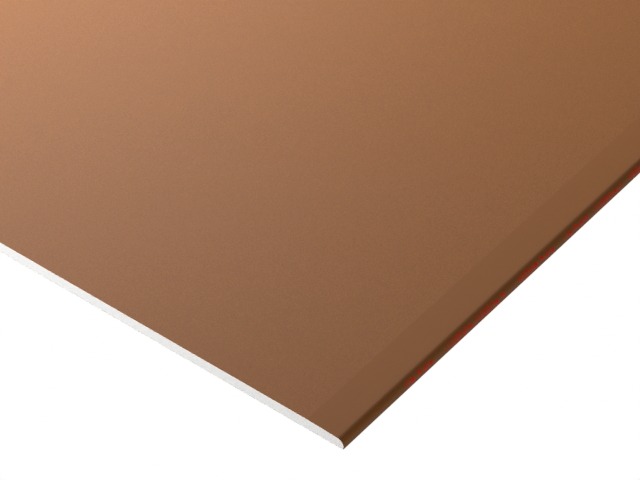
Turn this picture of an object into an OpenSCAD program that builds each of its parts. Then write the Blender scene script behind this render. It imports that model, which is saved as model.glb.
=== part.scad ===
// Drywall sheet: a gypsum core bound in paper, lying face up on its back.
// X runs along the bound edges, Y across the sheet and Z up.
// The origin is the centre of the underside.

/* [Sheet] */
// Length of the sheet, along its bound edges
sheet_l = 2000; // [1200:50:3600]
// Width of the sheet, from bound edge to bound edge
sheet_w = 1250; // [600:25:1500]
// Thickness of the sheet, papers included
sheet_t = 12.5; // [9.5:0.5:18]

/* [Bound edges] */
// Width of the flat taper beside each bound edge
taper_w = 42; // [25:1:80]
// How far the taper falls from the face to the edge
taper_drop = 1.6; // [0.6:0.1:2.4]
// Height at which the upright foot of the edge turns into its round nose
foot_h = 3.7; // [2:0.1:4.5]
// Radius of the gypsum's corner, where the face paper is folded under the back
corner_r = 0.1; // [0.1:0.1:0.8]

/* [Papers] */
// Thickness of the face paper
face_paper_t = 0.4; // [0.2:0.05:0.6]
// Thickness of the back paper
back_paper_t = 0.4; // [0.2:0.05:0.6]
// How far the face paper reaches in under the back
flap_w = 32; // [20:1:60]
// Strip of each flap that the back paper leaves bare
bare_flap_w = 12; // [5:1:18]
// Strip over which the flap steps in to go under the back paper
step_w = 1.5; // [0.5:0.1:3]

/* [Colours] */
// Colour of the gypsum
gypsum_colour = "gainsboro"; // [gainsboro, whitesmoke, white]
// Colour of the face paper
face_paper_colour = "sienna"; // [sienna, peru, ivory, darkseagreen, pink]
// Colour of the back paper
back_paper_colour = "tan"; // [tan, burlywood, silver]

/* [Hidden] */

// Fineness of the round nose and fold
round_fn = 96;

// Rise of the taper for each millimetre in from the edge, and its length along the slope
taper_rise = taper_drop / taper_w;
taper_slope = sqrt(1 + taper_rise * taper_rise);

// The nose is an arc that leaves the upright foot without a corner. It is drawn a little larger
// than the arc that would just touch the taper, so that the taper cuts it cleanly
nose_cut = 0.02;
touching_r = (sheet_t - taper_drop - foot_h) / (taper_slope - taper_rise);
nose_r = round(100 * (touching_r + nose_cut)) / 100;
nose_centre = [nose_r, foot_h];

// The fold, outside the paper
fold_r = corner_r + face_paper_t;
fold_centre = [fold_r, fold_r];

// Height of the taper at a distance in from the bound edge, at a depth below the outer skin
function taper_z(inwards, depth) =
    sheet_t - taper_drop + taper_rise * inwards - taper_slope * depth;

// Corners of one half of the section at a depth below its outer skin, measured in from the
// bound edge and up from the floor, running from the middle of the back to the middle of the face
function half_section(depth) = [
    [sheet_w / 2, back_paper_t + depth],
    [bare_flap_w, back_paper_t + depth],
    [bare_flap_w - step_w, depth],
    [fold_r, depth],
    fold_centre,
    [depth, fold_r],
    [depth, foot_h],
    nose_centre,
    [nose_r, taper_z(nose_r, depth)],
    [taper_w + depth * (taper_slope - 1) / taper_rise, sheet_t - depth],
    [sheet_w / 2, sheet_t - depth]
];

// The round nose, above the foot and below the line of the taper
module nose_section(depth) {
    intersection() {
        translate(nose_centre)
            circle(r = nose_r - depth, $fn = round_fn);
        polygon([
            nose_centre,
            [-nose_r, foot_h],
            [-nose_r, taper_z(-nose_r, depth)],
            [nose_r, taper_z(nose_r, depth)]
        ]);
    }
}

// The round fold, a quarter disc below and outside its centre
module fold_section(depth) {
    intersection() {
        translate(fold_centre)
            circle(r = fold_r - depth, $fn = round_fn);
        translate(fold_centre - [2 * fold_r, 2 * fold_r])
            square(2 * fold_r);
    }
}

// Runs a section the length of the sheet
module along_sheet() {
    rotate([90, 0, 90])
        linear_extrude(height = sheet_l, center = true)
            children();
}

// Half of the sheet from its bound edge to its middle, at a depth below its outer skin
module half_sheet(depth) {
    along_sheet()
        polygon(half_section(depth));
    along_sheet()
        nose_section(depth);
    along_sheet()
        fold_section(depth);
}

// Both halves, edge to edge
module whole_sheet(depth) {
    translate([0, -sheet_w / 2, 0])
        half_sheet(depth);
    mirror([0, 1, 0])
        translate([0, -sheet_w / 2, 0])
            half_sheet(depth);
}

// Fills the face paper, and reaches down to the back paper between the two flaps
module core_solid() {
    between_flaps = sheet_w - 2 * flap_w;
    whole_sheet(face_paper_t);
    translate([-sheet_l / 2, -between_flaps / 2, back_paper_t])
        cube([sheet_l, between_flaps, sheet_t / 2]);
}

module gypsum_core() {
    color(gypsum_colour)
        core_solid();
}

// One web of paper over the face, round both bound edges and in under the back
module face_paper() {
    color(face_paper_colour)
        difference() {
            whole_sheet(0);
            core_solid();
        }
}

// Glued over the core and the folded flaps
module back_paper() {
    back_w = sheet_w - 2 * bare_flap_w;
    color(back_paper_colour)
        translate([-sheet_l / 2, -back_w / 2, 0])
            cube([sheet_l, back_w, back_paper_t]);
}

gypsum_core();
face_paper();
back_paper();
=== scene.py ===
"""Finishes the drywall sheet: its papers, its sawn gypsum ends, the ink on its edge and the studio."""

import math
import random

import bpy
from bpy.props import FloatProperty, FloatVectorProperty, PointerProperty
from bpy.types import Operator, Panel, PropertyGroup
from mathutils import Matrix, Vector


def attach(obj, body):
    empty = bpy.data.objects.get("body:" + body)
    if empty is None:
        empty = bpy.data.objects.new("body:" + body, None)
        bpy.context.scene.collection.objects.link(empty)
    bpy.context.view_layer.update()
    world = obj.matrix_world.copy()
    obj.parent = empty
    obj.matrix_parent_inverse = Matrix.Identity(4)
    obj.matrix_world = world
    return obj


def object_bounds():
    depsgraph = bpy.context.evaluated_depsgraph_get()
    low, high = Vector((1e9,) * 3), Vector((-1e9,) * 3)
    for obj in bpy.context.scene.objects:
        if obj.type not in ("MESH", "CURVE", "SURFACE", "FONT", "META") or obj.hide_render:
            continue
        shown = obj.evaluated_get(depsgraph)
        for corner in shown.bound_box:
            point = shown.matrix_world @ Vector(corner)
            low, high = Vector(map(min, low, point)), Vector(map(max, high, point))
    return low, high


bl_info = {
    "name": "Drywall sheet",
    "version": (1, 0, 0),
    "blender": (4, 5, 0),
    "location": "View3D > Sidebar > Drywall",
    "description": "Papers, gypsum, edge ink and studio for a sheet of drywall",
    "category": "Object",
}

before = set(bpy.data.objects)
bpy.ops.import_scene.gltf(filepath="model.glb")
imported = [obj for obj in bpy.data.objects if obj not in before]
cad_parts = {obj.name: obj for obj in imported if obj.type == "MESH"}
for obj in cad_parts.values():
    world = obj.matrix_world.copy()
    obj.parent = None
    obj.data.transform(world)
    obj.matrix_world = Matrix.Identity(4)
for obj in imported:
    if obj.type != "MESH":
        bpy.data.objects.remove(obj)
bpy.context.view_layer.update()
CAD_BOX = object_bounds()
SHEET_LOW, SHEET_HIGH = CAD_BOX
BODY = "root"
MM = 0.001
# The section of a bound edge: an upright foot, a round nose and a flat taper up to the face
FOOT_HEIGHT = 3.7 * MM
NOSE_RADIUS = 7.5 * MM
TAPER_WIDTH = 42 * MM
TAPER_DROP = 1.6 * MM


# ---------------------------------------------------------------- settings


class PaperSettings(PropertyGroup):
    """The face paper and the back paper"""

    face_colour: FloatVectorProperty(
        name="Face colour", description="Colour of the brown face paper",
        default=(0.307, 0.111, 0.0212), subtype="COLOR", min=0, max=1)
    ply_colour: FloatVectorProperty(
        name="Inner ply colour", description="Colour of the pale inner ply, seen where the paper is cut",
        default=(1.0, 0.9, 0.8), subtype="COLOR", min=0, max=1)
    back_ply_colour: FloatVectorProperty(
        name="Back ply colour", description="Colour of the back paper where it is cut",
        default=(0.68, 0.68, 0.67), subtype="COLOR", min=0, max=1)
    back_colour: FloatVectorProperty(
        name="Back colour", description="Colour of the plain back paper",
        default=(0.3, 0.235, 0.17), subtype="COLOR", min=0, max=1)
    grain: FloatProperty(
        name="Grain size", description="Size of the paper's fine grain",
        default=1.35 * MM, subtype="DISTANCE", min=0.2 * MM, max=0.02)
    fibre_length: FloatProperty(
        name="Fibre length", description="Length of the fibres that show in the paper",
        default=4 * MM, subtype="DISTANCE", min=0.5 * MM, max=0.02)
    taper_width: FloatProperty(
        name="Pressed width", description="Width of the smooth, pressed strip beside each bound edge",
        default=TAPER_WIDTH + 0.2 * MM, subtype="DISTANCE", min=0, max=0.1)


class GypsumSettings(PropertyGroup):
    """The core"""

    colour: FloatVectorProperty(
        name="Gypsum colour", description="Colour of the cut gypsum",
        default=(0.83, 0.835, 0.83), subtype="COLOR", min=0, max=1)
    skin_colour: FloatVectorProperty(
        name="Skin colour", description="Colour of the dense skin beside the face paper",
        default=(0.9, 0.83, 0.78), subtype="COLOR", min=0, max=1)
    pore: FloatProperty(
        name="Pore spacing", description="Distance between the foam's pores",
        default=1.1 * MM, subtype="DISTANCE", min=0.1 * MM, max=0.02)


class InkSettings(PropertyGroup):
    """The row of ink marks on one bound edge"""

    colour: FloatVectorProperty(
        name="Ink colour", description="Colour of the ink",
        default=(1.0, 0.015, 0.012), subtype="COLOR", min=0, max=1)
    first: FloatProperty(
        name="First mark", description="Distance from the cut end to the first mark",
        default=95 * MM, subtype="DISTANCE", min=0, max=1)
    pitch: FloatProperty(
        name="Mark pitch", description="Distance from one mark to the next",
        default=8.8 * MM, subtype="DISTANCE", min=1 * MM, max=0.1)
    column: FloatProperty(
        name="Column pitch", description="Distance between two columns of drops",
        default=1.45 * MM, subtype="DISTANCE", min=0.1 * MM, max=0.01)
    row: FloatProperty(
        name="Row pitch", description="Distance between two rows of drops, measured over the paper",
        default=0.98 * MM, subtype="DISTANCE", min=0.1 * MM, max=0.01)
    low_row: FloatProperty(
        name="Lowest row", description="Height of the lowest row of drops",
        default=3.3 * MM, subtype="DISTANCE", min=0, max=0.02)
    drop: FloatProperty(
        name="Drop size", description="Diameter of a dried drop of ink",
        default=1.5 * MM, subtype="DISTANCE", min=0.1 * MM, max=0.01)
    repeat: FloatProperty(
        name="Repeat", description="Distance after which the row of marks starts again",
        default=0.545, subtype="DISTANCE", min=0.1, max=5)


class StudioSettings(PropertyGroup):
    """The floor, the lights and the camera"""

    azimuth: FloatProperty(
        name="Azimuth", description="Direction the camera looks in, from +Y",
        default=math.radians(-51.609), subtype="ANGLE")
    elevation: FloatProperty(
        name="Elevation", description="Angle at which the camera looks down",
        default=math.radians(42.543), subtype="ANGLE")
    distance: FloatProperty(
        name="Distance", description="Distance from the camera to the point it looks at",
        default=2.6226, subtype="DISTANCE", min=0.1)
    aim_along: FloatProperty(
        name="Aim along", description="Distance from the cut end to the point the camera looks at",
        default=0.1954, subtype="DISTANCE")
    aim_across: FloatProperty(
        name="Aim across", description="Distance from the bound edge to the point the camera looks at",
        default=0.1817, subtype="DISTANCE")
    lens: FloatProperty(
        name="Lens", description="Focal length of the camera, in millimetres",
        default=152.1, min=10, max=500)
    floor_glow: FloatProperty(
        name="Floor glow", description="Light that the white floor throws on the sheet",
        default=0.52, min=0, max=10)
    sky: FloatProperty(
        name="Sky", description="Strength of the even light from all round",
        default=0.02, min=0, max=10)
    lamp_power: FloatProperty(
        name="Lamp power", description="Power of all lamps together, as a share of their usual power",
        default=1, min=0, max=10)


# ---------------------------------------------------------------- shader maths


class Value:
    """A number that varies over a surface, so that shader maths reads as plain maths"""

    def __init__(self, shader, socket):
        self.shader = shader
        self.socket = socket

    def maths(self, operation, *values, clamp=False):
        """The result of a Math node on these values"""
        settings = {"operation": operation, "use_clamp": clamp}
        return self.shader.node("ShaderNodeMath", settings, dict(enumerate(values))).out()

    def __add__(self, other):
        return self.maths("ADD", self, other)

    def __sub__(self, other):
        return self.maths("SUBTRACT", self, other)

    def __rsub__(self, other):
        return self.maths("SUBTRACT", other, self)

    def __mul__(self, other):
        return self.maths("MULTIPLY", self, other)

    def at_least(self, low):
        """The value, or low where the value is less"""
        return self.maths("MAXIMUM", self, low)

    def or_less(self, other):
        """The lesser of two values"""
        return self.maths("MINIMUM", self, other)

    def root(self):
        return self.maths("SQRT", self)

    def __gt__(self, other):
        return self.maths("GREATER_THAN", self, other)

    def __abs__(self):
        return self.maths("ABSOLUTE", self)

    def limited(self):
        """The value held between 0 and 1"""
        return self.maths("ADD", self, 0, clamp=True)

    def ramp(self, low, high):
        """0 below low, 1 above high and a smooth rise between them"""
        settings = {"interpolation_type": "SMOOTHSTEP"}
        return self.shader.node("ShaderNodeMapRange", settings, {"Value": self, 1: low, 2: high}).out()

    __radd__ = __add__
    __rmul__ = __mul__


class Node:
    """A shader node whose outputs are taken by name or number"""

    def __init__(self, shader, made):
        self.shader = shader
        self.made = made

    def out(self, name=0):
        return Value(self.shader, self.made.outputs[name])


class Shader:
    """The nodes of a new material or of a world, added one at a time"""

    def __init__(self, owner):
        self.material = bpy.data.materials.new(owner) if isinstance(owner, str) else owner
        self.material.use_nodes = True
        self.tree = self.material.node_tree
        self.tree.nodes.clear()
        self.place = self.node("ShaderNodeTexCoord").out("Object")

    def node(self, kind, settings=None, inputs=None):
        """A node of that kind: its settings are set first, then the values or links of its sockets"""
        made = self.tree.nodes.new(kind)
        for name, value in (settings or {}).items():
            setattr(made, name, value)
        for name, value in (inputs or {}).items():
            if isinstance(value, Value):
                self.tree.links.new(value.socket, made.inputs[name])
            else:
                made.inputs[name].default_value = value
        return Node(self, made)

    def stretched(self, stretch, turn=0.0):
        """The place on the object, stretched along each axis and turned about Z"""
        inputs = {"Vector": self.place, "Scale": stretch, "Rotation": (0, 0, turn)}
        return self.node("ShaderNodeMapping", None, inputs).out()

    def noise(self, size, detail=2.0, roughness=0.5, at=None):
        """Soft noise about 0, whose lumps have that size in metres"""
        inputs = {"Vector": at or self.place, "Scale": 1 / size, "Detail": detail, "Roughness": roughness}
        return self.node("ShaderNodeTexNoise", None, inputs).out(0) - 0.5

    def seen(self):
        """1 where something is seen directly, and 0 where it only throws light on something else"""
        return self.node("ShaderNodeLightPath").out("Is Camera Ray")

    def axis(self, name):
        """One coordinate of the place on the object, in metres"""
        return self.node("ShaderNodeSeparateXYZ", None, {0: self.place}).out(name)

    def facing(self, name):
        """How far the surface faces along an axis, whichever way"""
        normal = self.node("ShaderNodeTexCoord").out("Normal")
        return abs(self.node("ShaderNodeSeparateXYZ", None, {0: normal}).out(name))

    def mix(self, factor, first, second, blend="MIX"):
        """One colour over another"""
        settings = {"data_type": "RGBA", "blend_type": blend}
        first = self.colour(first)
        second = self.colour(second)
        return self.node("ShaderNodeMix", settings, {0: factor, 6: first, 7: second}).out(2)

    def shade(self, colour, amount):
        """A colour made lighter by a share that varies over the surface"""
        grey = self.node("ShaderNodeCombineColor", None, dict.fromkeys(range(3), amount + 1)).out()
        return self.mix(1.0, colour, grey, "MULTIPLY")

    @staticmethod
    def colour(value):
        """Three numbers as a colour socket takes them, and a link as it is"""
        return value if isinstance(value, Value) else (*value, 1.0)

    def bump(self, height, depth):
        """A normal from a height between about 0 and 1, that many metres deep"""
        inputs = {"Strength": 1.0, "Distance": depth, "Height": height}
        return self.node("ShaderNodeBump", None, inputs).out()

    def finish(self, colour, roughness, normal, **constants):
        """The surface itself. Constants are its sockets by name, with _ for a space"""
        inputs = {"Base Color": self.colour(colour), "Roughness": roughness, "Normal": normal}
        inputs |= {name.replace("_", " "): value for name, value in constants.items()}
        surface = self.node("ShaderNodeBsdfPrincipled", None, inputs).out()
        self.node("ShaderNodeOutputMaterial", None, {"Surface": surface})
        return self.material


# ---------------------------------------------------------------- materials


def fibres(shader, length, turns):
    """Fine hairs lying near the paper's own direction, as noise about 0"""
    hairs = 0.0
    for turn in turns:
        along = shader.stretched((0.12, 1, 1), turn)
        hairs = shader.noise(0.12 * length, 1.0, 0.4, along) + hairs
    return hairs * (1 / len(turns))


def face_paper_material(paper):
    """Brown liner: fine grain, a cloudy make and fibres along the sheet, pressed smooth at the taper"""
    shader = Shader("brown liner paper")
    from_middle = abs(shader.axis("Y"))
    crease = SHEET_HIGH.y - paper.taper_width
    crease_reach = 0.5 * MM
    # 1 on the rough face paper and less on the pressed taper; it also sets the taper's painted shade
    # below
    rough_and_unshaded = 1 - from_middle.ramp(crease - crease_reach, crease + crease_reach) * 0.85
    grain = shader.noise(paper.grain, 2.0, 0.6) * rough_and_unshaded
    cloud_size = 22 * MM
    cloud = shader.noise(cloud_size, 4.0, 0.6)
    hairs = fibres(shader, paper.fibre_length, (0.0, 0.9, -0.8)) * (rough_and_unshaded * 0.5 + 0.5)
    brown = shader.shade(paper.face_colour, grain * 0.93 + cloud * 0.06 + hairs * 0.08)
    # Painted shade: the pressed taper is made a little darker, with a darker line where the paper bends
    # out of the taper. Painted light: a lighter band lower down the nose
    height = shader.axis("Z")
    painted_bend_shade = height.ramp(9.6 * MM, 10.4 * MM) * (1 - height.ramp(11.05 * MM, 11.3 * MM))
    painted_nose_light = height.ramp(4.5 * MM, 6 * MM) * (1 - height.ramp(8.5 * MM, 9.8 * MM))
    brown = shader.shade(brown, rough_and_unshaded * 0.025 - 0.025 - painted_bend_shade * 0.24 + painted_nose_light * 0.07)
    cut = shader.facing("X") > 0.5
    ply = shader.shade(paper.ply_colour, hairs * 0.1)
    colour = shader.mix(cut, brown, ply)
    relief = 0.12 * MM
    normal = shader.bump(grain * 0.7 + hairs * 0.5, relief)
    roughness = grain * 0.1 + 0.62
    return shader.finish(colour, roughness, normal, Specular_IOR_Level=0.3)


def back_paper_material(paper):
    """Plain liner on the back, coarser and greyer than the face"""
    shader = Shader("plain back paper")
    grain = shader.noise(paper.grain, 4.0, 0.7)
    cloud_size = 35 * MM
    cloud = shader.noise(cloud_size, 3.0, 0.5)
    hairs = fibres(shader, paper.fibre_length * 1.4, (0.0, 0.5, -0.45))
    grey = shader.shade(paper.back_colour, grain * 0.22 + cloud * 0.1 + hairs * 0.3)
    cut = shader.facing("X") > 0.5
    colour = shader.mix(cut, grey, shader.shade(paper.back_ply_colour, hairs * 0.1))
    relief = 0.15 * MM
    normal = shader.bump(grain + hairs, relief)
    return shader.finish(colour, grain * 0.1 + 0.72, normal)


def face_depth(shader, height):
    """How deep a place is under the face, the taper or the round nose of the nearer bound edge"""
    inwards = SHEET_HIGH.y - abs(shader.axis("Y"))
    fall = (1 - inwards * (1 / TAPER_WIDTH)).limited() * TAPER_DROP
    under_face = SHEET_HIGH.z - height - fall
    beside = (NOSE_RADIUS - inwards).at_least(0)
    above = (height - FOOT_HEIGHT).at_least(0)
    reach = (beside * beside + above * above).root()
    past_nose = (inwards - NOSE_RADIUS).at_least(0)
    return under_face.or_less(NOSE_RADIUS - reach + past_nose)


def gypsum_material(gypsum):
    """Sawn gypsum: a fine foam of pores, faint upright scratches and a denser skin beside the papers"""
    shader = Shader("sawn gypsum")
    height = shader.axis("Z")
    depth = face_depth(shader, height)
    skin = 1 - depth.ramp(0.9 * MM, 1.7 * MM)
    low_skin = 1 - height.ramp(0.7 * MM, 1.3 * MM)
    cells = {"Vector": shader.place, "Scale": 1 / gypsum.pore, "Randomness": 1.0}
    distance = shader.node("ShaderNodeTexVoronoi", None, cells).out("Distance")
    patch_size = 2.5 * MM
    porous = (shader.noise(patch_size, 2.0) + 0.15).ramp(0.0, 0.25)
    pores = (1 - distance.ramp(0.12, 0.34)) * porous * (1 - skin) * (1 - low_skin)
    scratch_width = 0.9 * MM
    scratches = shader.noise(scratch_width, 2.0, 0.6, shader.stretched((1, 1, 0.08)))
    mottle_size = 9 * MM
    mottle = shader.noise(mottle_size, 3.0, 0.6)
    light = mottle * 0.05 + scratches * 0.05 - low_skin * 0.04 - pores * 0.12
    colour = shader.shade(shader.mix(skin, gypsum.colour, gypsum.skin_colour), light)
    relief = 0.2 * MM
    normal = shader.bump(scratches * 0.5 + mottle * 0.3 - pores, relief)
    return shader.finish(colour, mottle * 0.1 + 0.85, normal, Specular_IOR_Level=0.3)


def ink_material(ink):
    """Bright red ink that has sunk into the paper: thinner and darker in spots"""
    shader = Shader("red edge ink")
    spot_size = 0.7 * MM
    spots = shader.noise(spot_size, 3.0, 0.6)
    wash_size = 12 * MM
    wash = shader.noise(wash_size, 2.0)
    colour = shader.shade(ink.colour, spots * 0.5 + wash * 0.3)
    relief = 0.05 * MM
    normal = shader.bump(spots, relief)
    return shader.finish(colour, spots * 0.2 + 0.6, normal, Specular_IOR_Level=0.1)


def floor_material(studio):
    """A white floor that takes no shadow, and throws less light on the sheet than it shows"""
    shader = Shader("white floor")
    strength = shader.seen() * (1 - studio.floor_glow) + studio.floor_glow
    glow = shader.node("ShaderNodeEmission", None, {"Strength": strength}).out()
    shader.node("ShaderNodeOutputMaterial", None, {"Surface": glow})
    return shader.material


def studio_air(studio):
    """An even, dim light from all round, behind which the studio looks as white as its floor"""
    world = bpy.data.worlds.new("studio air")
    world.use_nodes = True
    shader = Shader(world)
    strength = shader.seen() * (1 - studio.sky) + studio.sky
    air = shader.node("ShaderNodeBackground", None, {"Color": (1, 1, 1, 1), "Strength": strength}).out()
    shader.node("ShaderNodeOutputWorld", None, {"Surface": air})
    return world


# ---------------------------------------------------------------- modelling helpers


def deselect_all():
    """An operator acts on all that is selected, so everything is let go of first"""
    if bpy.context.object and bpy.context.object.mode != "OBJECT":
        bpy.ops.object.mode_set(mode="OBJECT")
    bpy.ops.object.select_all(action="DESELECT")


def dress(piece, material):
    """Gives a piece its one material"""
    piece.data.materials.clear()
    piece.data.materials.append(material)


def apply_modifiers(piece):
    """Applies a piece's modifiers in order"""
    deselect_all()
    piece.select_set(True)
    bpy.context.view_layer.objects.active = piece
    for modifier in list(piece.modifiers):
        bpy.ops.object.modifier_apply(modifier=modifier.name)


# ---------------------------------------------------------------- the ink

# Plain marks, as rows of drops from the top down. None of them is a letter or a number.
MARKS = (
    ("..#..", ".#.#.", "#...#", "#...#", "#...#", ".#.#.", "..#.."),
    ("...##", "..##.", ".##..", "##...", "...##", "..##.", ".##.."),
    ("#.#.#", ".....", "#.#.#", ".....", "#.#.#", ".....", "#.#.#"),
    ("#....", "##...", "###..", "####.", "###..", "##...", "#...."),
    (".....", "..#..", ".###.", "#####", ".###.", "..#..", "....."),
    ("#####", "#...#", "#...#", "#...#", "#...#", "#...#", "#####"),
    ("#.#..", ".#.#.", "..#.#", ".#.#.", "#.#..", ".....", "....."),
    ("...#.", "...#.", "..#..", "..#..", ".#...", ".#...", "#...."),
)
# First place, in mark pitches, and number of marks of each group in a row
GROUPS = ((0, 5), (7, 11), (20.4, 7), (29, 5), (34.8, 6), (42, 8), (52, 6))
DROP_SIDES = 10
DROP_UNEVEN = (0.9, 1.08)
DROP_SLIP = 0.06
CLEAR_OF_EDGE = 2 * MM
INK_THICKNESS = 0.02 * MM
CHANCE_SEED = 4


def drop_height(up):
    """Height after going that far up the foot and round the nose, and how upright the paper is there"""
    over = up - FOOT_HEIGHT
    turned = max(over, 0) / NOSE_RADIUS
    return min(up, FOOT_HEIGHT) + NOSE_RADIUS * math.sin(turned), math.cos(turned)


def add_mark(number, rows, ink, chance):
    """One mark, as discs that face the bound edge's own way, a little in front of it"""
    deselect_all()
    drops = [(column, up) for up, row in enumerate(reversed(rows))
             for column, drop in enumerate(row) if drop == "#"]
    for count, (column, up) in enumerate(drops):
        height, foreshortened = drop_height(ink.low_row + up * ink.row)
        size = ink.drop / 2 * chance.uniform(*DROP_UNEVEN)
        slip = chance.uniform(-DROP_SLIP, DROP_SLIP) * ink.column
        bpy.ops.mesh.primitive_circle_add(
            vertices=DROP_SIDES, radius=size, fill_type="NGON", rotation=(math.pi / 2, 0, 0),
            location=(column * ink.column + slip, SHEET_LOW.y - CLEAR_OF_EDGE, height),
            scale=(1, foreshortened, 1))
        if count == 0:
            bpy.context.object.name = f"mark_{number}"
            bpy.ops.object.mode_set(mode="EDIT")
    bpy.ops.object.mode_set(mode="OBJECT")
    mark = bpy.context.object
    bpy.ops.object.transform_apply()
    return mark


def mark_places(ink):
    """Distance from the cut end of each mark along the edge"""
    places = []
    start = ink.first
    while start < SHEET_HIGH.x - SHEET_LOW.x:
        for cell, count in GROUPS:
            places += [start + (cell + i) * ink.pitch for i in range(count)]
        start += ink.repeat
    last = SHEET_HIGH.x - SHEET_LOW.x - ink.pitch
    return [place for place in places if place < last]


def print_edge(ink):
    """All marks as one skin of ink, laid on the bound edge"""
    chance = random.Random(CHANCE_SEED)
    patterns = [add_mark(i, rows, ink, chance) for i, rows in enumerate(MARKS)]
    copies = []
    for number, place in enumerate(mark_places(ink)):
        # Steps of three, and one more after each round, so that the order doesn't repeat too soon
        pattern = patterns[(number * 3 + number // 8) % len(patterns)]
        copy = pattern.copy()
        copy.data = pattern.data.copy()
        copy.location.x = SHEET_LOW.x + place
        bpy.context.collection.objects.link(copy)
        copies.append(copy)
    for pattern in patterns:
        bpy.data.objects.remove(pattern)
    deselect_all()
    for copy in copies:
        copy.select_set(True)
    bpy.context.view_layer.objects.active = copies[0]
    bpy.ops.object.join()
    bpy.ops.object.transform_apply()
    marks = bpy.context.object
    marks.name = "edge_marks"
    lay = marks.modifiers.new("lay on the paper", "SHRINKWRAP")
    lay.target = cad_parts["face_paper"]
    lay.wrap_method = "PROJECT"
    lay.use_project_y = True
    lay.offset = INK_THICKNESS
    skin = marks.modifiers.new("thickness", "SOLIDIFY")
    skin.thickness = INK_THICKNESS
    skin.offset = 1
    apply_modifiers(marks)
    return marks


# ---------------------------------------------------------------- operators


class DRYWALL_OT_gypsum_core(Operator):
    """Give the core its sawn, finely pored gypsum"""

    bl_idname = "drywall.gypsum_core"
    bl_label = "Gypsum core"

    def execute(self, context):
        dress(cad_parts["gypsum_core"], gypsum_material(context.scene.drywall_gypsum))
        return {"FINISHED"}


class DRYWALL_OT_papers(Operator):
    """Give the face and the back their papers"""

    bl_idname = "drywall.papers"
    bl_label = "Papers"

    def execute(self, context):
        paper = context.scene.drywall_paper
        dress(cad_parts["face_paper"], face_paper_material(paper))
        dress(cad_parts["back_paper"], back_paper_material(paper))
        return {"FINISHED"}


class DRYWALL_OT_edge_marks(Operator):
    """Print a row of plain ink marks on one bound edge"""

    bl_idname = "drywall.edge_marks"
    bl_label = "Edge marks"

    def execute(self, context):
        ink = context.scene.drywall_ink
        marks = print_edge(ink)
        dress(marks, ink_material(ink))
        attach(marks, BODY)
        return {"FINISHED"}


WARM = (1.0, 0.9, 0.8)
COOL = (0.83, 0.88, 1.0)
WHITE = (1.0, 1.0, 1.0)
FLOOR_SIZE = 60
SENSOR_WIDTH = 36
# Name, place, the point that it shines at, size, power in watts and colour of each soft lamp
LAMPS = (
    ("corner lamp", (-0.9, 0.9, 0.7), (-0.9, 0.3, 0), (0.9, 0.3), 10.9, COOL),
    ("top lamp", (-0.3, 0.6, 1.1), (-0.3, 0.6, 0), (0.8, 0.5), 15.9, WHITE),
    ("far lamp", (0.5, 1.1, 1.1), (0.5, 0.3, 0), (0.8, 0.5), 23.4, COOL),
    ("side lamp", (0.9, -0.2, 1.0), (0.9, -0.2, 0), (0.8, 0.8), 5.0, COOL),
    ("front lamp", (-3.0, -2.6, 2.6), (-0.6, -0.3, 0), (2.0, 1.4), 36.4, WARM),
    ("end lamp", (-2.2, 0.2, 0.06), (-1, -0.1, 0.01), (0.8, 0.1), 13.0, WHITE),
)


def add_softbox(name, place, target, size, power, colour):
    """A soft rectangular lamp that the camera doesn't see"""
    bpy.ops.object.light_add(type="AREA", location=place)
    lamp = bpy.context.object
    lamp.name = name
    lamp.data.shape = "RECTANGLE"
    lamp.data.size, lamp.data.size_y = size
    lamp.data.energy = power
    lamp.data.color = colour
    lamp.visible_camera = False
    towards = Vector(target) - Vector(place)
    lamp.rotation_euler = towards.to_track_quat("-Z", "Y").to_euler()
    return lamp


class DRYWALL_OT_studio(Operator):
    """Lay the floor, hang the lights and stand the camera"""

    bl_idname = "drywall.studio"
    bl_label = "Studio"

    def execute(self, context):
        studio = context.scene.drywall_studio
        deselect_all()
        bpy.ops.mesh.primitive_plane_add(size=FLOOR_SIZE, location=(0, 0, SHEET_LOW.z))
        floor = context.object
        floor.name = "floor"
        dress(floor, floor_material(studio))

        context.scene.world = studio_air(studio)

        corner = (SHEET_LOW.x, SHEET_LOW.y, SHEET_HIGH.z)
        for name, place, target, size, power, colour in LAMPS:
            add_softbox(name, place, target, size, power * studio.lamp_power, colour)

        aim = Vector(corner) + Vector((studio.aim_along, studio.aim_across, 0))
        level = math.cos(studio.elevation)
        back = Vector((math.sin(studio.azimuth) * level, -math.cos(studio.azimuth) * level,
                          math.sin(studio.elevation)))
        turned = (math.pi / 2 - studio.elevation, 0, studio.azimuth)
        bpy.ops.object.camera_add(location=aim + back * studio.distance, rotation=turned)
        camera = context.object
        camera.data.lens = studio.lens
        camera.data.sensor_width = SENSOR_WIDTH
        context.scene.camera = camera
        context.scene.view_settings.view_transform = "Standard"
        return {"FINISHED"}


class DRYWALL_PT_sheet(Panel):
    """Everything that finishes the sheet"""

    bl_idname = "DRYWALL_PT_sheet"
    bl_label = "Drywall sheet"
    bl_space_type = "VIEW_3D"
    bl_region_type = "UI"
    bl_category = "Drywall"

    def draw(self, context):
        for operator in OPERATORS:
            self.layout.operator(operator.bl_idname)
        for name in SETTINGS:
            box = self.layout.box()
            group = getattr(context.scene, name)
            for setting in group.__annotations__:
                box.prop(group, setting)


SETTINGS = {
    "drywall_paper": PaperSettings,
    "drywall_gypsum": GypsumSettings,
    "drywall_ink": InkSettings,
    "drywall_studio": StudioSettings,
}
OPERATORS = (DRYWALL_OT_gypsum_core, DRYWALL_OT_papers, DRYWALL_OT_edge_marks, DRYWALL_OT_studio)
CLASSES = (*SETTINGS.values(), *OPERATORS, DRYWALL_PT_sheet)


def register():
    for cls in CLASSES:
        bpy.utils.register_class(cls)
    for name, group in SETTINGS.items():
        setattr(bpy.types.Scene, name, PointerProperty(type=group))


def unregister():
    for name in SETTINGS:
        delattr(bpy.types.Scene, name)
    for cls in reversed(CLASSES):
        bpy.utils.unregister_class(cls)


def main():
    register()
    bpy.ops.drywall.gypsum_core()
    bpy.ops.drywall.papers()
    bpy.ops.drywall.edge_marks()
    bpy.ops.drywall.studio()


if __name__ == "__main__":
    main()
